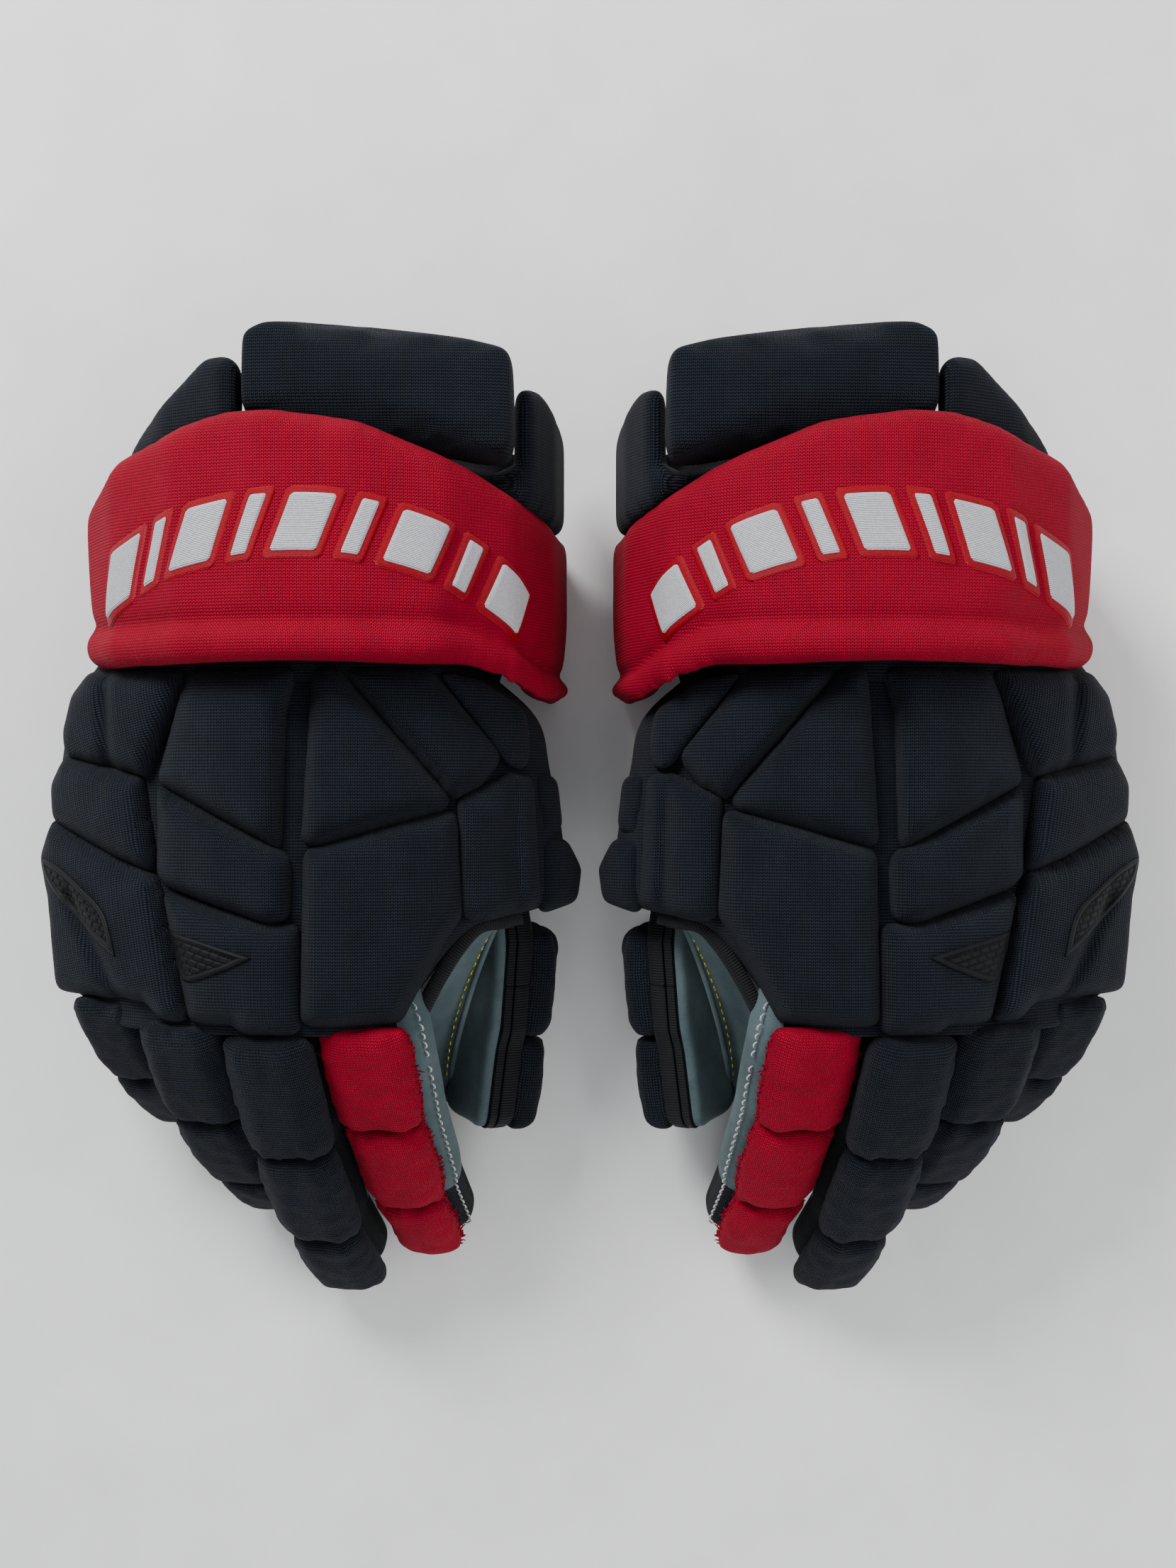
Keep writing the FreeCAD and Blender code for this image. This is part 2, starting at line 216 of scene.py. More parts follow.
def thread(name, dark, light, pitch, rough):
    """Satin or twisted thread: fine strands along one direction, with a painted highlight along each strand
    and painted shade between them.
    """
    n = Nodes(name)
    strand = n.wave(n.weave()[0], pitch * MM)
    height = n.plus(n.times(strand, 0.35), n.times(n.noise(1500, 2), 0.6))
    # painted light: the ramp follows the strands' height, lighter on each strand as a painted highlight and
    # darker between them as painted shade, mixed with random tone from the noise
    colour = n.ramp(n.plus(height, 0.15), (0.15, dark), (0.75, light))
    return n.finish(colour, n.bump(height, LOOP_RELIEF, 0.9), rough, 0.25)


def moulded(name, dark, light):
    """Matte moulded rubber."""
    n = Nodes(name)
    colour = n.ramp(n.noise(200, 3), (0.3, dark), (0.7, light))
    return n.finish(colour, n.bump(n.noise(3000, 2), 0.08 * MM, 0.6), 0.62, 0.16)


LOOP_RELIEF = 0.4 * MM      # depth of the knit's loops and of the tapes' and threads' strands
# the black knits' dark stop is painted shade in the knit's holes, and LIT_BLACK, their light stop, is a
# painted highlight on the loops
PAINTED_SHADE_BLACK = (0.0002, 0.0003, 0.0007)
LIT_BLACK = (0.022, 0.03, 0.046)
BLACK = knit("black_knit", PAINTED_SHADE_BLACK, (0.0016, 0.0025, 0.005), LIT_BLACK, 0.03)
BLACK_RIB = knit("black_rib_knit", PAINTED_SHADE_BLACK, (0.0018, 0.0027, 0.0052), LIT_BLACK, 0.03,
                 pitch=2.2 * MM, course=0.8 * MM)
# the red knit's dark stop is painted shade in its holes and its light stop is a painted highlight on its
# loops
RED = knit("red_knit", (0.055, 0.0, 0.005), (0.25, 0.0, 0.014), (0.43, 0.0, 0.026), 0.0)
SUEDE = suede("grey_suede", (0.03, 0.05, 0.056), (0.11, 0.15, 0.16))
# the binding's dark and light stops are painted shade between its ribs and a painted highlight on them
BINDING = ribbed("black_binding", (0.0004, 0.0004, 0.0006), (0.006, 0.0068, 0.009))
RUBBER = moulded("patch_rubber", (0.0016, 0.002, 0.0026), (0.0045, 0.005, 0.0066))
# the threads' dark and light stops are painted shade between strands and a painted highlight on them, mixed
# with random tone
WHITE_SATIN = thread("white_satin", (0.3, 0.3, 0.33), (0.74, 0.74, 0.78), 0.55, 0.45)
RED_SATIN = thread("red_satin", (0.22, 0.0, 0.006), (0.46, 0.0, 0.014), 0.4, 0.45)
YELLOW_THREAD = thread("yellow_thread", (0.5, 0.4, 0.02), (0.8, 0.7, 0.06), 0.5, 0.6)
WHITE_THREAD = thread("white_thread", (0.4, 0.4, 0.4), (0.75, 0.75, 0.74), 0.5, 0.6)
LINING = suede("dark_lining", (0.006, 0.006, 0.007), (0.02, 0.02, 0.024))


# ======== mesh tools
def vectors(items, name):
    out = np.empty(len(items) * 3, np.float32)
    items.foreach_get(name, out)
    return out.reshape(-1, 3).astype(float)


def coordinates(mesh):
    return vectors(mesh.vertices, "co")


def normals(mesh):
    return vectors(mesh.vertex_normals, "vector")


def set_coordinates(mesh, co):
    mesh.vertices.foreach_set("co", co.astype(np.float32).ravel())
    mesh.update()


def mesh_of(points, faces):
    mesh = bpy.data.meshes.new("part")
    mesh.from_pydata([tuple(p) for p in points], [], faces)
    mesh.update()
    return mesh


def shown(name, data):
    """A new object in the scene."""
    obj = bpy.data.objects.new(name, data)
    bpy.context.scene.collection.objects.link(obj)
    return obj


def evaluated(mesh, *modifiers):
    """The mesh after a few modifiers, each given as (type, settings)."""
    obj = shown("work", mesh)
    for kind, settings in modifiers:
        modifier = obj.modifiers.new(kind, kind)
        for key, value in settings.items():
            setattr(modifier, key, value)
    graph = bpy.context.evaluated_depsgraph_get()
    result = bpy.data.meshes.new_from_object(obj.evaluated_get(graph))
    bpy.data.objects.remove(obj)
    return result


def smoothed(mesh, levels=1):
    return evaluated(mesh, ("SUBSURF", dict(levels=levels)))


def thickened(mesh, thickness, levels=1, offset=0.0):
    """A sheet given a thickness in millimetres, half to each side unless offset says otherwise."""
    settings = dict(thickness=thickness * MM, offset=offset)
    return evaluated(mesh, ("SOLIDIFY", settings), ("SUBSURF", dict(levels=levels)))


UP = np.array([0, 0, 1.0])


def unit(vector):
    return vector / np.linalg.norm(vector)


def tangent(path, k):
    return unit(path[min(k + 1, len(path) - 1)] - path[max(k - 1, 0)])


def run_length(points):
    """Distance along a polyline to each of its points."""
    return np.concatenate([[0], np.cumsum(np.linalg.norm(np.diff(points, axis=0), axis=1))])


def polyline_distance(points, line):
    """Distance of flat points from a line through others."""
    best = np.full(len(points), 1e9)
    for a, b in zip(line, line[1:]):
        along = b - a
        t = np.clip(((points - a) @ along) / (along @ along), 0, 1)
        best = np.minimum(best, np.linalg.norm(points - (a + t[:, None] * along), axis=1))
    return best


def ring_round(centre, side, up, half_side, half_up, count):
    """Points round an ellipse, with its half widths in millimetres."""
    return [centre + MM * (half_side * math.cos(a) * side + half_up * math.sin(a) * up)
            for a in np.linspace(0, 2 * math.pi, count, endpoint=False)]


def loft(rings, closed=True, cap=False):
    """Faces between rings of the same number of points."""
    count = len(rings[0])
    faces = []
    for low in range(0, count * (len(rings) - 1), count):
        for i in range(count if closed else count - 1):
            j = (i + 1) % count
            faces.append([low + i, low + j, low + count + j, low + count + i])
    if cap:
        faces.append([(len(rings) - 1) * count + i for i in range(count)])
    return mesh_of([p for ring in rings for p in ring], faces)


def resampled(points, count):
    """Points evenly spaced along a polyline."""
    points = np.array(points, float)
    length = run_length(points)
    at = np.linspace(0, length[-1], count)
    return np.stack([np.interp(at, length, points[:, k]) for k in range(points.shape[1])], 1)


def smooth_path(points, count):
    """Points evenly spaced along a smooth curve through the given points."""
    points = np.array(points, float)
    padded = np.vstack([2 * points[0] - points[1], points, 2 * points[-1] - points[-2]])
    curve = []
    for k in range(1, len(padded) - 2):
        a, b, c, d = padded[k - 1:k + 3]
        for t in np.linspace(0, 1, 12, endpoint=False):
            curve.append(0.5 * (2 * b + (c - a) * t + (2 * a - 5 * b + 4 * c - d) * t ** 2
                                + (3 * b - a - 3 * c + d) * t ** 3))
    curve.append(points[-1])
    return resampled(curve, count)


def solids(node):
    """The separate solids of a CAD node as meshes, largest first."""
    bm = bmesh.new()
    bm.from_mesh(frame["nodes"][node].data)
    bmesh.ops.remove_doubles(bm, verts=bm.verts, dist=1e-6)
    seen = set()
    found = []
    for seed in bm.verts:
        if seed in seen:
            continue
        island, edge = {seed}, [seed]
        while edge:
            vertex = edge.pop()
            for link in vertex.link_edges:
                other = link.other_vert(vertex)
                if other not in island:
                    island.add(other)
                    edge.append(other)
        seen |= island
        order = {vertex: i for i, vertex in enumerate(island)}
        faces = [[order[v] for v in face.verts] for face in bm.faces if face.verts[0] in island]
        found.append(mesh_of([v.co for v in island], faces))
    bm.free()
    return sorted(found, key=volume, reverse=True)


def volume(mesh):
    bm = bmesh.new()
    bm.from_mesh(mesh)
    size = abs(bm.calc_volume())
    bm.free()
    return size


def joined(meshes):
    """Several meshes as one, keeping their vertices apart."""
    bm = bmesh.new()
    for mesh in meshes:
        bm.from_mesh(mesh)
    whole = bpy.data.meshes.new("joined")
    bm.to_mesh(whole)
    bm.free()
    return whole


def remeshed(mesh, voxel):
    return evaluated(mesh, ("REMESH", dict(mode="VOXEL", voxel_size=voxel, use_smooth_shade=True)))


def relax(mesh, times):
    """Round the mesh off by moving each vertex towards the middle of its neighbours."""
    edges = np.empty(len(mesh.edges) * 2, np.int32)
    mesh.edges.foreach_get("vertices", edges)
    a, b = edges.reshape(-1, 2).T
    count = len(mesh.vertices)
    degree = np.maximum(np.bincount(a, minlength=count) + np.bincount(b, minlength=count), 1)
    co = coordinates(mesh)
    for _ in range(times):
        middle = np.empty_like(co)
        for k in range(3):
            total = np.bincount(a, co[b, k], count) + np.bincount(b, co[a, k], count)
            middle[:, k] = total / degree
        co += 0.5 * (middle - co)
    set_coordinates(mesh, co)
    return mesh


def grown(mesh, distance):
    set_coordinates(mesh, coordinates(mesh) + normals(mesh) * distance)
    return mesh


def faces_tree(mesh, keep=lambda normal: True):
    """A search tree of the faces whose normal passes the test keep."""
    faces = [list(p.vertices) for p in mesh.polygons if keep(p.normal)]
    return BVHTree.FromPolygons([v.co.copy() for v in mesh.vertices], faces)


def distances(tree, co):
    return np.array([tree.find_nearest(Vector(p))[3] for p in co])


def puckers(co, scale, seed):
    """Smooth noise at each point, about -1 to 1."""
    return np.array([noise.noise(Vector(p) / scale + Vector((seed, 0, 0))) for p in co])


def swell(mesh, pressure, frames, cap):
    """Blow a closed mesh up as cloth, with no vertex moving further than cap."""
    obj = shown("cloth", mesh)
    cloth = obj.modifiers.new("cloth", "CLOTH")
    settings = cloth.settings
    settings.quality = 5
    settings.mass = 0.12
    settings.use_pressure = True
    settings.uniform_pressure_force = pressure
    settings.tension_stiffness = settings.compression_stiffness = 12
    settings.bending_stiffness = 0.3
    settings.effector_weights.gravity = 0
    cloth.point_cache.frame_start, cloth.point_cache.frame_end = 1, frames
    scene = bpy.context.scene
    for step in range(1, frames + 1):
        scene.frame_set(step)
    graph = bpy.context.evaluated_depsgraph_get()
    blown = coordinates(bpy.data.meshes.new_from_object(obj.evaluated_get(graph)))
    bpy.data.objects.remove(obj)
    scene.frame_set(1)
    start = coordinates(mesh)
    move = blown - start
    length = np.linalg.norm(move, axis=1, keepdims=True)
    set_coordinates(mesh, start + move * np.minimum(1, cap / np.maximum(length, 1e-9)))
    return mesh


# ---- fabric coordinates
def set_weave(mesh, u, v):
    layer = mesh.attributes.get("weave") or mesh.attributes.new("weave", "FLOAT_VECTOR", "POINT")
    values = np.stack([u, v, np.zeros(len(u))], 1).astype(np.float32)
    layer.data.foreach_set("vector", values.ravel())
    return mesh


def flat_weave(mesh):
    """Fabric coordinates straight from x and y."""
    return set_weave(mesh, *coordinates(mesh)[:, :2].T)


def unroll(mesh, angle, r, along, turning, forward, radius, turn=0.0):
    """Fabric coordinates round and along an axis, carried on down the piece's edges.

    turning and forward are the parts of each normal round and along the axis. Where the
    surface drops below the highest radius at its angle, it is on an edge, and the drop is
    added in the direction that the edge faces.
    """
    place = (angle - angle.min()) / math.radians(4)
    bins = place.astype(int)
    top = np.zeros(bins.max() + 1)
    np.maximum.at(top, bins, r)
    for _ in range(3):
        top = np.convolve(np.pad(top, 1, "edge"), (0.25, 0.5, 0.25), "valid")
    highest = np.interp(place, np.arange(len(top)) + 0.5, top)
    drop = np.maximum(0, highest - r - 2.5 * MM)
    u = radius * angle + drop * np.clip(1.4 * turning, -1, 1)
    v = along + drop * np.clip(1.4 * forward, -1, 1)
    c, s = math.cos(math.radians(turn)), math.sin(math.radians(turn))
    return set_weave(mesh, c * u + s * v, c * v - s * u)


def weave_round(mesh, x, z, radius, turn=0.0):
    """Fabric wrapped round a line along y through x and z, given in the glove's frame."""
    co = coordinates(mesh) - np.array(G(x, 0, z))
    out = normals(mesh)
    r = np.hypot(co[:, 0], co[:, 2])
    turning = (out[:, 0] * co[:, 2] - out[:, 2] * co[:, 0]) / r
    return unroll(mesh, np.arctan2(co[:, 0], co[:, 2]), r, co[:, 1], turning, out[:, 1], radius * MM, turn)


def weave_along(mesh, origin, along, out, radius):
    """Fabric wrapped round a line along a digit, a radius below its back."""
    co = coordinates(mesh) - np.array(origin)
    across = np.cross(out, along)
    face = normals(mesh)
    side, height = co @ across, co @ out + radius
    r = np.hypot(side, height)
    turning = (face @ across * height - face @ out * side) / r
    return unroll(mesh, np.arctan2(side, height), r, co @ along, turning, face @ along, radius)


# ---- putting pieces in the scene, once for each hand
def mirrored(mesh):
    other = mesh.copy()
    co = coordinates(other)
    co[:, 0] *= -1
    set_coordinates(other, co)
    other.flip_normals()
    return other


def put(name, mesh, materials, body, nodes=(), bend=None):
    """Place a piece on the right glove and its mirror image on the left one."""
    for material in materials if isinstance(materials, list) else [materials]:
        mesh.materials.append(material)
    made = []
    for hand, data in (("right", mesh), ("left", mirrored(mesh))):
        data.polygons.foreach_set("use_smooth", [True] * len(data.polygons))
        obj = shown(f"{hand}_{name}", data)
        if bend:
            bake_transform(obj)
        else:
            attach(obj, f"{hand}_{body}")
        for node in nodes:
            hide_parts(f"{hand}_{node}")
        made.append(obj)
    return made


# ======== backhand rolls
PAD = 15.0                  # only the upper part of a roll, this deep, is crowned
SPREAD = 1.4                # how far a roll's foam spreads past its solid
CREASE_WIDTH = 2.4
CREASE_DEPTH = 3.4
ROLL_VOXEL = 1.5 * MM


def crease(co, start, end):
    """How close points are to a stitched line across a roll, from 0 to 1."""
    line = [np.array(G(*point, 0))[:2] for point in (start, end)]
    return np.exp(-(polyline_distance(co[:, :2], line) / MM / CREASE_WIDTH) ** 2)


def backhand_pad(solid, edge=5.8, drop=6.4, rise=2.4, seed=0.0, lines=()):
    """A foam roll of the backhand: crowned on top, and pulled down into the seams round it."""
    sides = faces_tree(solid, lambda n: abs(n.z) < 0.35)
    mesh = remeshed(solid, ROLL_VOXEL)
    co = coordinates(mesh)
    d = distances(sides, co) / MM
    co += normals(mesh) * SPREAD * MM
    top = SPREAD + np.array([arch_height((x - GLOVE_X) / MM) for x in co[:, 0]])
    upper = np.clip(1 - (top - co[:, 2] / MM) / PAD, 0, 1)
    t = np.clip(d / edge, 0, 1)
    lift = rise * (1 - np.exp(-d / 6)) - drop * (1 - np.sqrt(1 - (1 - t) ** 2))
    lift += 0.55 * np.exp(-d / 5) * puckers(co, 5 * MM, seed) + 0.5 * puckers(co, 16 * MM, seed + 7)
    for start, end in lines:
        lift -= CREASE_DEPTH * crease(co, start, end)
    co[:, 2] += lift * upper * MM
    set_coordinates(mesh, co)
    return relax(mesh, 3)


BACKHAND = ["outer_roll_1", "outer_roll_2", "outer_roll_3", "center_roll_1", "center_roll_2",
            "center_roll_3", "inner_roll_1", "inner_roll_2", "inner_roll_3"]
CREASES = {"outer_roll_3": [((-74, -38), (-50, -78))], "outer_roll_1": [((-60, 40), (-58, 4))]}


def backhand_rolls():
    """All nine rolls; gives back a search tree of their surfaces."""
    surfaces = []
    for number, node in enumerate(BACKHAND):
        mesh = backhand_pad(solids(f"right_{node}")[0], seed=number * 3.1, lines=CREASES.get(node, ()))
        outer = node.startswith("outer")
        mesh = smoothed(weave_round(mesh, *HAND_WRAP, turn=12 if outer else 0))
        surfaces.append(mesh)
        put(f"{node}_pad", mesh, BLACK_RIB if outer else BLACK, "hand", [node])
    return faces_tree(joined(surfaces))


def side_rolls():
    line = [((77, -2), (78, -44))]
    made = [backhand_pad(solid, edge=6, drop=5, rise=1.5, seed=i, lines=line) for i, solid in
            enumerate(solids("right_thumb_side_rolls")[:2])]
    small = [relax(remeshed(solid, ROLL_VOXEL), 10) for solid in solids("right_thumb_side_rolls")[2:]]
    mesh = smoothed(weave_round(joined(made + [grown(m, 0.6 * MM) for m in small]), *HAND_WRAP))
    put("thumb_side_roll_pads", mesh, BLACK, "hand", ["thumb_side_rolls"])


# ======== cuff
BEAD_WIDTH = 9              # the rolled lower edge of the cuff
BEAD_HEIGHT = 3.0


def cuff_band():
    """The wide red roll over the wrist, with a beaded lower edge."""
    solid = solids("right_cuff_roll")[0]
    front = faces_tree(solid, lambda n: n.y < -0.5)
    mesh = relax(remeshed(solid, 2 * MM), 10)
    co = coordinates(mesh)
    d = distances(front, co) / MM
    corner = np.clip((co[:, 0] - G(74, 0, 0).x) / (18 * MM), 0, 1) * np.exp(-d / 9)
    co[:, 1] += corner ** 2 * 6 * MM
    out = normals(mesh)
    centre = G(CUFF_WRAP[0], 0, CUFF_WRAP[1])
    radial = (co[:, 0] - centre.x) * out[:, 0] + (co[:, 2] - centre.z) * out[:, 2]
    outer = (radial > 0) & (co[:, 2] > 3 * MM)
    half = BEAD_WIDTH / 2
    bead = np.where(d < BEAD_WIDTH, BEAD_HEIGHT * np.sqrt(np.clip(1 - ((d - half) / half) ** 2, 0, 1)), 0)
    seam = -2.4 * np.exp(-((d - BEAD_WIDTH - 0.8) / 1.3) ** 2)
    body = np.where(d > BEAD_WIDTH, 2.2 * (1 - np.exp(-(d - BEAD_WIDTH) / 9)), 0)
    lift = bead + seam + body + 0.7 * puckers(co, 22 * MM, 3)
    co += out * (lift * outer * MM)[:, None]
    co[:, 1] -= np.where(d < BEAD_WIDTH, 2.5 * (1 - d / BEAD_WIDTH), 0) * outer * (1 - corner) * MM
    set_coordinates(mesh, co)
    mesh = smoothed(weave_round(relax(mesh, 2), *CUFF_WRAP))
    put("cuff_roll_pad", mesh, RED, "cuff", ["cuff_roll"])
    return mesh


def cuff_pads():
    mesh = relax(remeshed(solids("right_cuff_top_pad")[0], 2 * MM), 10)
    mesh = smoothed(weave_round(swell(mesh, 5, 16, 5 * MM), 33, 20, 75))
    put("cuff_flap_pad", mesh, BLACK, "cuff_flap", ["cuff_top_pad"])
    sides = [grown(relax(remeshed(s, 1.8 * MM), 8), 2.6 * MM) for s in solids("right_cuff_side_pads")]
    mesh = smoothed(weave_round(joined(sides), *CUFF_WRAP))
    put("cuff_side_pad_pair", mesh, BLACK, "cuff", ["cuff_side_pads"])


def cuff_lining():
    mesh = relax(remeshed(solids("right_cuff_liner")[0], 1.2 * MM), 3)
    weave_round(mesh, ARCH_MIDDLE, 40, 70)
    put("cuff_inner_lining", mesh, LINING, "cuff", ["cuff_liner"])


# ======== digits
DIGITS = {"index": 3, "middle": 3, "ring": 3, "pinky": 2, "thumb": 2}
JOINTS = {joint["child"]: joint for joint in frame["joints"]}
SEAM_DEPTH = 8.0            # how deep below the back of a digit its hinges lie
SLEEVE_DEPTH = 11.5         # middle of the sleeve below the hinges


class Segment:
    """One segment of a digit: its roll, its directions and its hinge."""

    def __init__(self, digit, number):
        parts = solids(f"right_{digit}_{number + 1}")
        self.roll = parts[0]
        joint = JOINTS[f"right_{digit}_{number + 1}"]
        self.hinge = np.array(joint["pos_m"])
        axis = np.array(joint["axis"])
        rolls = coordinates(self.roll)
        everything = np.concatenate([coordinates(part) for part in parts])
        guess = unit(rolls.mean(0) - everything.mean(0))
        face = max(self.roll.polygons, key=lambda p: p.area * max(0, p.normal.dot(Vector(guess))))
        self.out = np.array(face.normal)
        self.along = np.cross(self.out, axis)
        if (rolls.mean(0) - self.hinge) @ self.along < 0:
            self.along = -self.along
        self.across = np.cross(self.out, self.along)
        reach = (everything - self.hinge) @ self.along
        self.length = reach.max()
        spread = (rolls - self.hinge) @ self.across
        self.half = (spread.max() - spread.min()) / 2
        self.back = self.hinge + self.out * SEAM_DEPTH * MM
        self.depth = -((everything - self.back) @ self.out).min()

    def measured(self, co):
        """Distances of points across, along and out of the digit, from its back over the hinge."""
        return [(co - self.back) @ axis for axis in (self.across, self.along, self.out)]


INDEX_TAPER = ((1.0, 0.0), (0.93, 1.2), (0.84, 2.6))    # width, and shift to the thumb side


def tapered(mesh, segment, width, shift):
    """Narrow a roll across the digit, and move it towards the thumb."""
    co = coordinates(mesh)
    across, reach, _ = segment.measured(co)
    share = np.clip(reach / (12 * MM), 0, 1)[:, None]
    move = across * (width - 1) + shift * MM
    set_coordinates(mesh, co + segment.across * (move[:, None] * share))
    return mesh


def digit_rolls(digit, segments):
    red = digit == "index"
    for number, segment in enumerate(segments):
        mesh = relax(remeshed(segment.roll, 1.3 * MM), 14 if digit == "thumb" else 9)
        if red:
            tapered(mesh, segment, *INDEX_TAPER[number])
        co = coordinates(mesh)
        out = normals(mesh)
        _, reach, height = [distance / MM for distance in segment.measured(co)]
        ends = np.minimum(reach - reach.min(), reach.max() - reach)
        wrinkle = puckers(co, 5 * MM, number * 5 + len(digit)) * (0.5 + 0.6 * np.exp(-ends / 5))
        lift = (0.4 + 2.2 * (1 - np.exp(-ends / 5)) + wrinkle) * np.clip((height + 12) / 8, 0, 1)
        set_coordinates(mesh, co + out * (lift * MM)[:, None])
        relax(mesh, 2)
        weave_along(mesh, segment.back, segment.along, segment.out, 16 * MM)
        mesh = smoothed(mesh)
        node = f"{digit}_{number + 1}"
        put(f"{node}_roll", mesh, RED if red else BLACK, node, [node])
        if red:
            put(f"{node}_frayed_edge", frayed_edge(segment, mesh, number), RED, node)


def frayed_edge(segment, roll, seed):
    """Loose cut yarns along both sides of a red roll."""
    tree = faces_tree(roll)
    chance = np.random.default_rng(seed + 11)
    reach = segment.measured(coordinates(segment.roll))[1]
    yarns = []
    for side in (-1, 1):
        for along in np.arange(reach.min() + 1.5 * MM, reach.max() - 1 * MM, 0.75 * MM):
            start = (segment.back + segment.along * (along + chance.normal(0, 0.3 * MM))
                     - segment.out * chance.uniform(5, 10) * MM)
            outward = segment.across * side
            place = tree.ray_cast(Vector(start + outward * 30 * MM), Vector(-outward))[0]
            if not place:
                continue
            lean = outward * 0.7 - segment.out * 0.5 + segment.along * chance.normal(0, 0.7)
            lean = unit(lean + segment.out * chance.normal(0, 0.3))
            length = (0.5 + 2.2 * chance.random() ** 3) * MM
            turn = unit(np.cross(lean, segment.along))
            curl = segment.along * chance.normal(0, 0.9) * MM
            rings = []
            for t, width in ((-0.3, 0.34), (0.4, 0.3), (0.8, 0.22), (1.0, 0.1)):
                centre = np.array(place) + lean * length * t + curl * t * t
                rings.append(ring_round(centre, turn, np.cross(turn, lean), width, width, 5))
            yarns.append(flat_weave(loft(rings, cap=True)))
    return joined(yarns)


RING = 28                   # points round a sleeve
SLEEVE_SQUARE = 2.6         # how square its section is: 2 is an ellipse
THUMB_SQUARE = 4.5
THUMB_DISH = 0.32           # how far the thumb's suede is hollowed


def sleeve_point(station, across, angle, lift=0.0, square=SLEEVE_SQUARE, dish=0.0):
    """A point of a sleeve's surface, at an angle in radians from the thumb side over the back."""
    centre, out, half_width, half_height = station
    c, s = math.cos(angle), math.sin(angle)
    x = math.copysign(abs(c) ** (2 / square), c) * (half_width + lift)
    y = math.copysign(abs(s) ** (2 / square), s) * (half_height + lift)
    if s < 0:
        y *= 1 - dish * (1 - min(1, abs(x) / half_width) ** 2)
    return centre + across * x + out * y


def tube_weave(mesh, rings, radius):
    """Round the tube in u and along it in v."""
    lengths = run_length([np.mean(ring, 0) for ring in rings])
    u = np.tile(np.arange(RING) * 2 * math.pi / RING * radius, len(rings))
    return set_weave(mesh, u, np.repeat(lengths, RING))


SUEDE_EDGE = 2.8            # the index sleeve is moved this far to the thumb side, and is this much
                            # wider to each side, so only its thumb side moves out, by twice this
# how far along a segment each station of the sleeve lies, and its size there
SLEEVE_STEPS = ((0.1, 1), (0.3, 1), (0.5, 1), (0.7, 1), (0.9, 1))
TIP_STEPS = (*SLEEVE_STEPS[:-1], (0.82, 1), (0.9, 0.93), (0.95, 0.8), (0.985, 0.58), (1.0, 0.25))


def sleeve_stations(digit, segments):
    """(centre, out, half width, half height) along the whole digit, and where each joint lies."""
    stations = []
    marks = [0]
    first = segments[0]
    inside = first.hinge - first.out * SLEEVE_DEPTH * MM + np.array([0, 14 * MM, -2 * MM])
    stations.append((inside, first.out, first.half - 2.4 * MM, 8 * MM))
    for number, segment in enumerate(segments):
        last = number == len(segments) - 1
        half_height = (segment.depth / MM - SEAM_DEPTH - 1.0) / 2 * MM
        middle = segment.hinge - segment.out * (half_height + 0.6 * MM)
        half = segment.half - 0.9 * MM
        if digit == "index":
            middle = middle + segment.across * SUEDE_EDGE * MM
            half += SUEDE_EDGE * MM
        span = segment.length if last else np.linalg.norm(segments[number + 1].hinge - segment.hinge)
        for share, size in TIP_STEPS if last else SLEEVE_STEPS:
            stations.append((middle + segment.along * span * share, segment.out, half * size,
                             half_height * size))
            if share == 0.5 and not last:
                marks.append(len(stations) - 1)
    marks.append(len(stations) - 1)
    return stations, marks


def put_bent(name, digit, segments, number, mesh, materials):
    """Place a piece across a digit's joint, baked in place rather than attached to a body; the reach of 7
    mm to each side of the joint that it hands on is not used.
    """
    segment = segments[number]
    before = "hand" if number == 0 else f"{digit}_{number}"
    reach = segment.along * 7 * MM
    put(f"{digit}_{name}_{number + 1}", mesh, materials, before,
        bend=(f"{digit}_{number + 1}", segment.hinge - reach, segment.hinge + reach))


def digit_sleeve(digit, segments):
    """The fabric tube of a digit, in one piece for each joint."""
    stations, marks = sleeve_stations(digit, segments)
    for number, (start, end) in enumerate(zip(marks, marks[1:])):
        shape = (THUMB_SQUARE, THUMB_DISH) if digit == "thumb" else (SLEEVE_SQUARE, 0.0)
        rings = [np.array([sleeve_point(station, segments[0].across, 2 * math.pi * i / RING, 0, *shape)
                           for i in range(RING)]) for station in stations[start:end + 1]]
        closed = end == marks[-1]
        mesh = tube_weave(loft(rings, cap=closed), rings, segments[0].half)
        paint_sleeve(mesh, digit, len(rings), number == len(segments) - 1)
        put_bent("sleeve", digit, segments, number, smoothed(mesh, 2), [BLACK_RIB, SUEDE, BINDING])


def paint_sleeve(mesh, digit, rings, last):
    """Suede on the palm side, and on the thumb side of the index finger; black round the tip."""
    for polygon in mesh.polygons:
        ring, i = divmod(min(polygon.vertices), RING)
        angle = 360 * i / RING
        palm = 205 < angle < 335
        inner = digit == "index" and (angle >= 330 or angle < 56)
        if digit == "thumb":
            palm = 185 < angle < 352
        tip = last and ring >= rings - 9 and digit != "thumb"
        polygon.material_index = 0 if tip else 1 if palm or inner else 0
    return mesh


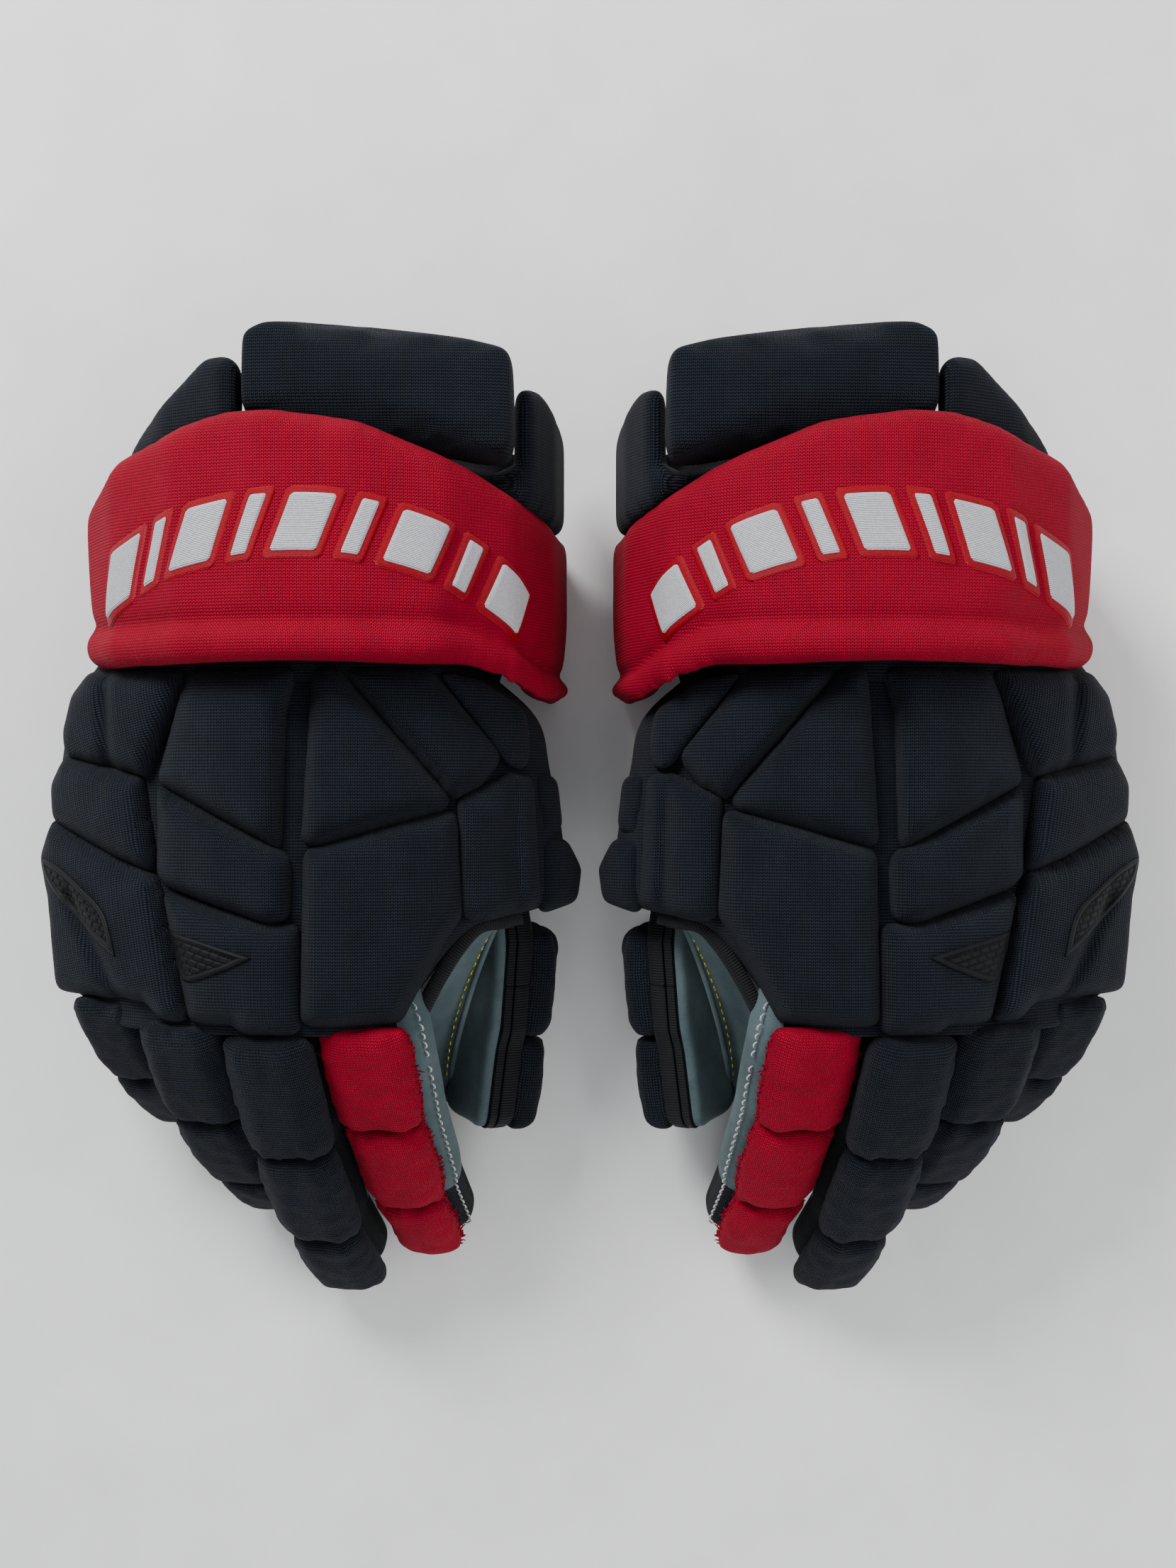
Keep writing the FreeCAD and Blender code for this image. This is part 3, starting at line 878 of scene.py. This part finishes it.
# ======== the hand's shell
BASE_DEPTH = 7.0            # the cloth between the rolls lies this far below their tops
HAND_STATIONS = [           # y, little finger edge, thumb edge, height of the palm
    (42, -66, 62, 24), (36, -72, 70, 24), (31, -77, 76, 24.5), (26, -80, 82, 25), (18, -82, 87, 26),
    (8, -84, 88, 27), (-10, -87, 92, 29),
    (-24, -89, 94, 30), (-36, -88, 94, 31.5), (-42, -87, 88, 32.5), (-46, -86, 68, 33),
    (-56, -85, 56, 34), (-64, -83, 49, 43), (-70, -78, 45, 52),
    (-76, -66, 42, 60), (-83, -60, 38, 68)]
TOP_COUNT, SIDE_COUNT, PALM_COUNT = 40, 12, 24
KNUCKLE_RINGS = 6           # the last rings, inside the finger rolls, are black all round


def hand_ring(y, outer, inner, palm):
    """One cross section: over the back, down the little finger side, along the palm and up."""
    top = [(x, arch_height(x) - BASE_DEPTH) for x in np.linspace(inner - 6, outer + 6, TOP_COUNT)]
    far = arch_height(outer) - BASE_DEPTH
    near = arch_height(inner) - BASE_DEPTH
    palm_left, palm_right = max(outer + 8, -77), min(inner - 4, 71)
    left = resampled([(outer + 3, far - 1), (outer, far - 7), (outer + 1, (far + palm) / 2),
                      (palm_left, palm + 2)], SIDE_COUNT)
    bottom = resampled([(palm_left + 4, palm), (palm_right - 4, palm)], PALM_COUNT)
    right = resampled([(palm_right, palm + 2), (inner - 1, (near + palm) / 2), (inner, near - 7),
                       (inner - 3, near - 1)], SIDE_COUNT)
    return [G(x, y, z) for x, z in np.vstack([top, left, bottom, right])]


def hand_shell():
    """The cloth under the rolls, the side gussets and the suede palm in one closed tube."""
    rings = [hand_ring(*station) for station in smooth_path(HAND_STATIONS, 46)]
    mesh = relax(loft(rings, cap=True), 3)
    count = len(rings[0])
    knuckles = (len(rings) - KNUCKLE_RINGS) * count
    palm = range(TOP_COUNT + SIDE_COUNT - 3, TOP_COUNT + SIDE_COUNT + PALM_COUNT + 2)
    for polygon in mesh.polygons:
        suede = min(v % count for v in polygon.vertices) in palm and max(polygon.vertices) < knuckles
        polygon.material_index = 1 if suede else 0
    mesh = smoothed(weave_round(mesh, *HAND_WRAP))
    put("hand_shell", mesh, [BLACK, SUEDE], "hand", ["palm", "backhand_liner"])


WRIST_COUNT = 56
WRIST_RINGS = [             # y, and how far in from the hand's back edge towards the inside of the cuff
    (31, 0.0), (36, 0.02), (40, 0.3), (44, 0.7), (49, 0.95), (58, 1.0), (66, 1.0)]
HAND_INSIDE = [             # x and z
    (64, 30), (70, 50), (64, 76), (50, 88), (30, 93), (12, 94.5), (-10, 92.5), (-32, 85), (-54, 72),
    (-68, 58), (-74, 44), (-70, 30)]
CUFF_INSIDE = [(75, 2), (78, 30), (75, 56), (65, 77), (48, 93), (26, 98), (0, 98), (-22, 91),
               (-41, 76), (-52, 56), (-55, 30), (-51, 2)]
CLOTH_THICKNESS = 1.2


def wrist_strip():
    """Stretch cloth that joins the back of the hand to the inside of the cuff."""
    hand = resampled(HAND_INSIDE, WRIST_COUNT)
    cuff = resampled([(12 + (x - 12) * 0.95, z * 0.965) for x, z in CUFF_INSIDE], WRIST_COUNT)
    rings = []
    for y, share in WRIST_RINGS:
        section = hand * (1 - share) + cuff * share
        section[:, 1] = np.maximum(section[:, 1], 20)
        rings.append([G(x, y, z) for x, z in section])
    mesh = relax(loft(rings, closed=False), 2)
    weave_round(mesh, *CUFF_WRAP)
    mesh = thickened(mesh, CLOTH_THICKNESS, levels=2, offset=-1.0)
    pieces = put("wrist_strip", mesh, BLACK, "hand", bend=("cuff", G(12, 34, 50), G(12, 46, 50)))


FLAP_CLOTH = [              # x, where it leaves the inside of the cuff, and how high
    (-16, 108, 88), (-4, 110, 92), (14, 109, 93), (32, 106, 92), (46, 102, 89), (58, 100, 84), (68, 98, 77),
    (79, 95, 68)]


def flap_cloth():
    """Cloth that hangs from the back edge of the cuff, under the flap."""
    rows = []
    for x, y, z in smooth_path(FLAP_CLOTH, 40):
        high = min(z, 75)
        path = [(x, y - 8, z), (x, y, z - 1), (x, y + 3.5, (z + high) / 2), (x, y + 6, high - 4),
                (x, y + 13, high - 13), (x, y + 17, high - 20)]
        rows.append([G(*p) for p in smooth_path(path, 14)])
    mesh = thickened(loft(rows, closed=False), CLOTH_THICKNESS)
    weave_round(mesh, *CUFF_WRAP)
    put("flap_cloth", mesh, BLACK, "cuff")


# ======== embroidered stripes on the cuff
STRIPE_START, STRIPE_END = -73.0, 76.0
STRIPE_HEIGHT = 19.0
STRIPE_SLANT = 7.0
STRIPE_WIDTHS = (15, 6, 15, 6, 15, 6, 15, 6, 15)
SATIN_EDGE = 2.0


def stripe_line(u):
    """Where the middle of the stripes lies along y, at a distance u round the cuff."""
    return 81 - (17 * (u / 73) ** 2 if u < 0 else 26 * (u / 76) ** 2)


def round_cuff(tree, u, y):
    """The point of the cuff's outer surface, and its normal, at u round it and y along it."""
    x, z, radius = CUFF_WRAP
    out = Vector((math.sin(u / radius), 0, math.cos(u / radius)))
    place, normal = tree.ray_cast(G(x, y, z) + out * 130 * MM, -out)[:2]
    return (place, normal) if place else (G(x, y, z) + out * 72 * MM, out)


def stripe(tree, left, width, grow, height, edge):
    """A raised, slanted patch of satin stitch: its middle stands up and its edge is pressed down."""
    wide, tall = width + 2 * grow, STRIPE_HEIGHT + 2 * grow
    rows, weave = [], []
    for b in np.linspace(0, 1, 27):
        rows.append([])
        for a in np.linspace(0, 1, 23):
            corner = min(1.0, 4 * min(b, 1 - b) + 0.75)
            t = (b - 0.5) * tall
            u = left + width / 2 + (a - 0.5) * wide * corner + t / STRIPE_HEIGHT * STRIPE_SLANT
            place, normal = round_cuff(tree, u, stripe_line(u) + t)
            inside = min(min(a, 1 - a) * wide, min(b, 1 - b) * tall)
            rise = -0.4 + (height + 0.4) * min(1, inside / edge) ** 0.5
            rows[-1].append(place + normal * rise * MM)
            weave.append((t * MM, u * MM))
    return set_weave(loft(rows, closed=False), *np.array(weave).T)


def cuff_stripes(roll):
    tree = faces_tree(roll)
    gap = (STRIPE_END - STRIPE_START - sum(STRIPE_WIDTHS)) / (len(STRIPE_WIDTHS) - 1)
    left = STRIPE_START
    white, red = [], []
    for width in STRIPE_WIDTHS:
        red.append(stripe(tree, left, width, SATIN_EDGE, 0.7, 1.0))
        white.append(stripe(tree, left, width, 0, 1.4, 1.2))
        left += width + gap
    put("cuff_stripes", joined(white), WHITE_SATIN, "cuff")
    put("cuff_stripe_edges", joined(red), RED_SATIN, "cuff")


# ======== lines along a digit's sleeve
def ribbon(rows):
    """A tape through rows of points, each row running across the tape."""
    rows = [np.array(row) for row in rows]
    mesh = loft(rows, closed=False)
    along = run_length([row.mean(0) for row in rows])
    set_weave(mesh, np.tile(run_length(rows[0]), len(rows)), np.repeat(along, len(rows[0])))
    return thickened(mesh, 0.7)


STITCH_LENGTH = 2.4
STITCH_GAP = 1.3
STITCH_RADIUS = 0.35
STITCH_BOW = np.array([-0.5, 0.1, 0.25, 0.25, 0.1, -0.5])[:, None] * MM    # height along one stitch


def interpolated(at, steps, points):
    """The points at some distances along a line, given the distance of each point."""
    return np.stack([np.interp(at, steps, np.array(points)[:, k]) for k in range(3)], 1)


def dashes(path, out):
    """Stitches along a path: short threads that dive into the cloth at both ends."""
    path = np.array(path, float)
    steps = run_length(path) / MM
    made = []
    at = 0.6
    while at + STITCH_LENGTH < steps[-1]:
        spots = np.linspace(at, at + STITCH_LENGTH, len(STITCH_BOW))
        up = interpolated(spots, steps, out)
        centre = interpolated(spots, steps, path) + up * STITCH_BOW
        along = unit(centre[-1] - centre[0])
        made.append(flat_weave(loft([
            ring_round(c, np.cross(along, o), o, STITCH_RADIUS, STITCH_RADIUS, 6)
            for c, o in zip(centre, up)])))
        at += STITCH_LENGTH + STITCH_GAP
    return joined(made)


def along_sleeve(digit, segments, name, build, material):
    """Build something on each piece of a sleeve."""
    stations, marks = sleeve_stations(digit, segments)
    for number, (start, end) in enumerate(zip(marks, marks[1:])):
        part = stations[start:end + 1]
        fine = []
        for a, b in zip(part, part[1:]):
            for t in np.linspace(0, 1, 5, endpoint=False):
                fine.append(tuple((1 - t) * np.array(p) + t * np.array(q) for p, q in zip(a, b)))
        fine.append(part[-1])
        put_bent(name, digit, segments, number, build(fine, segments[0].across), material)


def stitches_at(angle, lift):
    def build(stations, across):
        path = [sleeve_point(s, across, math.radians(angle), lift) for s in stations]
        return dashes(path, [unit(p - np.array(s[0])) for p, s in zip(path, stations)])
    return build


def side_point(station, across, share, lift):
    """A point of the thumb's edge, with share going from -1 at the suede to 1 at the pads."""
    centre, out, half_width, half_height = station
    x = (1 - abs(share) ** THUMB_SQUARE) ** (1 / THUMB_SQUARE)
    return centre - across * x * (half_width + lift) + out * share * half_height


def edge_tape(first, last, lift):
    def build(stations, across):
        return ribbon([[side_point(s, across, share, lift) for share in np.linspace(first, last, 6)]
                       for s in stations])
    return build


TRIMS = {                   # what is sewn along the pieces of a digit's sleeve
    "thumb": [("binding", edge_tape(0.9, -0.02, 1.3 * MM), BINDING),
              ("binding_edge", edge_tape(-0.06, -0.42, 0.9 * MM), BINDING)],
    "index": [("suede_stitches", stitches_at(27, 0.85 * MM), WHITE_THREAD)]}


# ---- the web between the index finger and the thumb
WEB_HAND = [(72, -44, 66), (62, -48, 72), (54, -58, 70), (45, -72, 64), (41, -86, 50), (41.5, -100, 34),
            (45, -114, 20)]
WEB_FOLD = [(71, -46, 58), (67, -55, 54), (62, -68, 47), (57.5, -82, 38), (54, -95, 29), (52, -106, 20),
            (52.5, -116, 12)]
WEB_STEPS = 44


def web_rows():
    """Rows of points from the hand's edge to the fold, sagging and lightly wrinkled between them."""
    upper = smooth_path(WEB_HAND, WEB_STEPS)
    lower = smooth_path(WEB_FOLD, WEB_STEPS)
    rows = []
    for k, (a, b) in enumerate(zip(upper, lower)):
        down = k / (WEB_STEPS - 1)
        row = []
        for t in np.linspace(0, 1, 22):
            p = a + (b - a) * t
            arch = math.sin(math.pi * t)
            sag = arch * (1.5 + 7.5 * math.sin(math.pi * min(1, down * 1.1)))
            fold = 0.8 * arch * math.sin(11 * t + 4 * down)
            row.append(np.array(G(p[0] + fold * 0.5, p[1], p[2] - sag + fold)))
        rows.append(row)
    return rows


def thumb_web():
    """Suede between the hand's edge and a raised fold along the thumb, with a yellow seam."""
    rows = web_rows()
    bend = ("thumb_1", G(60, -40, 50), G(60, -64, 40))
    mesh = flat_weave(thickened(loft(rows, closed=False), 1.4))
    web = put("thumb_web", mesh, SUEDE, "hand", bend=bend)
    path = [row[-1] for row in rows]
    rings = []
    for k, p in enumerate(path):
        along = tangent(path, k)
        side = unit(np.cross(along, UP))
        rings.append(ring_round(p, side, np.cross(side, along), 1.1, 1.5, 10))
    fold = smoothed(loft(rings))
    edge = put("thumb_web_fold", fold, SUEDE, "hand", bend=bend)
    seam = [row[-4] + UP * 0.9 * MM for row in rows[2:38]]
    stitches = put("thumb_web_stitches", dashes(seam, [UP] * len(seam)), YELLOW_THREAD, "hand", bend=bend)


HAND_EDGE = [(79, -44.5, 61), (73, -45.8, 68), (65, -47, 74), (58.5, -53.5, 77.5), (51.5, -64.5, 79.5),
             (45.5, -76, 79), (41.5, -83, 73)]
EDGE_SECTION = ((-2.7, -6.0), (-2.6, -3.0), (-1.6, -0.8), (0.2, 0.2), (2.2, -0.8))
PALM_MIDDLE = np.array([20, -20, 0])


def hand_edge_binding():
    """Tape that binds the cloth along the lower thumb side edge of the hand."""
    path = smooth_path(HAND_EDGE, 60)
    rows = []
    for k, p in enumerate(path):
        inward = unit(np.cross(UP, tangent(path, k)))
        inward = inward if inward @ (PALM_MIDDLE - p) > 0 else -inward
        rows.append([G(*(p + inward * w + UP * z)) for w, z in EDGE_SECTION])
    put("hand_edge_binding", ribbon(rows), BINDING, "hand")


# ======== rubber patches
BRICK_WIDTH, BRICK_LENGTH, BRICK_TURN = 2.1, 3.4, -16
PATCHES = [                 # upper and lower outline of each, seen from above
    ([(-35.5, -47), (-20, -50.6), (-5, -55)],
     [(-35.5, -47), (-33, -57), (-28.5, -63.5), (-16, -60), (-5, -55)]),
    ([(-87, -25), (-78, -28), (-67, -35), (-58, -43), (-53.5, -57)],
     [(-87, -25), (-84.5, -32), (-75, -41.5), (-66, -49), (-53.5, -57)]),
]


def rubber_patch(tree, upper, lower):
    """A moulded patch on the roll below it: a raised rim round small bricks."""
    upper, lower = smooth_path(upper, 100), smooth_path(lower, 100)
    steps = np.linspace(0, 1, 44)
    spots = np.array([u + (l - u) * t for u, l in zip(upper, lower) for t in steps])
    inside = np.minimum(polyline_distance(spots, upper), polyline_distance(spots, lower))
    turn = math.radians(BRICK_TURN)
    s = spots[:, 0] * math.cos(turn) + spots[:, 1] * math.sin(turn)
    t = spots[:, 1] * math.cos(turn) - spots[:, 0] * math.sin(turn)
    row = np.floor(t / BRICK_WIDTH)
    across = np.abs((t / BRICK_WIDTH) % 1 - 0.5) * BRICK_WIDTH
    along = np.abs(((s + row * BRICK_LENGTH / 2) / BRICK_LENGTH) % 1 - 0.5) * BRICK_LENGTH
    brick = np.clip((BRICK_WIDTH / 2 - across) / 0.35, 0, 1)
    brick *= np.clip((BRICK_LENGTH / 2 - along) / 0.4, 0, 1)
    rim = np.clip(1 - np.abs(inside - 1.1) / 1.1, 0, 1) ** 0.5
    height = np.where(inside < 2.2, 0.2 + 1.3 * rim, 0.35 + 0.7 * brick)
    height = np.where(inside < 0.15, -1.2, height)
    points = []
    for (x, y), rise in zip(spots, height):
        place = tree.ray_cast(G(x, y, 130), Vector(-UP))[0] or G(x, y, arch_height(x) - 4)
        points.append(place + Vector((0, 0, rise * MM)))
    return loft([points[k:k + len(steps)] for k in range(0, len(points), len(steps))], closed=False)


def rubber_patches(tree):
    made = [rubber_patch(tree, *patch) for patch in PATCHES]
    put("rubber_patches", joined(made), RUBBER, "hand", ["vent_patches"])


# ======== the set
def area_light(name, place, size, power, colour=(1, 1, 1)):
    light = bpy.data.lights.new(name, "AREA")
    light.size = size
    light.energy = power
    light.color = colour
    obj = shown(name, light)
    obj.location = place
    obj.rotation_euler = (-Vector(place)).to_track_quat("-Z", "Y").to_euler()


CAMERA_PLACE = (-0.0007, 0.0154, 0.7)   # it looks straight down
CAMERA_LENS = 43.4
FLOOR = 6.0                 # half the width of the floor


def stage():
    corners = [(x * FLOOR, y * FLOOR, 0) for x, y in ((-1, -1), (1, -1), (1, 1), (-1, 1))]
    floor = shown("floor", mesh_of(corners, [range(4)]))
    n = Nodes("paper")
    colour = n.ramp(n.noise(30, 3), (0.3, (0.8, 0.8, 0.79)), (0.7, (0.86, 0.86, 0.85)))
    floor.data.materials.append(n.finish(colour, None, 0.85, 0.2))
    world = bpy.data.worlds.new("studio")
    world.use_nodes = True
    background = world.node_tree.nodes["Background"]
    background.inputs["Color"].default_value = (0.9, 0.94, 1, 1)
    background.inputs["Strength"].default_value = 0.5
    bpy.context.scene.world = world
    area_light("key", (-0.6, 0.9, 0.85), 0.45, 25)
    area_light("fill", (0.9, 0.1, 0.8), 0.9, 7, (1, 0.98, 0.95))
    area_light("front", (0.1, -1.0, 0.7), 0.9, 5)
    camera = bpy.data.cameras.new("camera")
    camera.sensor_fit = "AUTO"
    camera.sensor_width = 36
    camera.lens = CAMERA_LENS
    obj = shown("camera", camera)
    obj.location = CAMERA_PLACE
    bpy.context.scene.camera = obj


# ======== build
def build():
    rubber_patches(backhand_rolls())
    side_rolls()
    hand_shell()
    wrist_strip()
    flap_cloth()
    cuff_stripes(cuff_band())
    cuff_pads()
    cuff_lining()
    for digit in DIGITS:
        segments = [Segment(digit, number) for number in range(DIGITS[digit])]
        digit_rolls(digit, segments)
        digit_sleeve(digit, segments)
        for trim in TRIMS.get(digit, ()):
            along_sleeve(digit, segments, *trim)
    thumb_web()
    hand_edge_binding()


build()
stage()
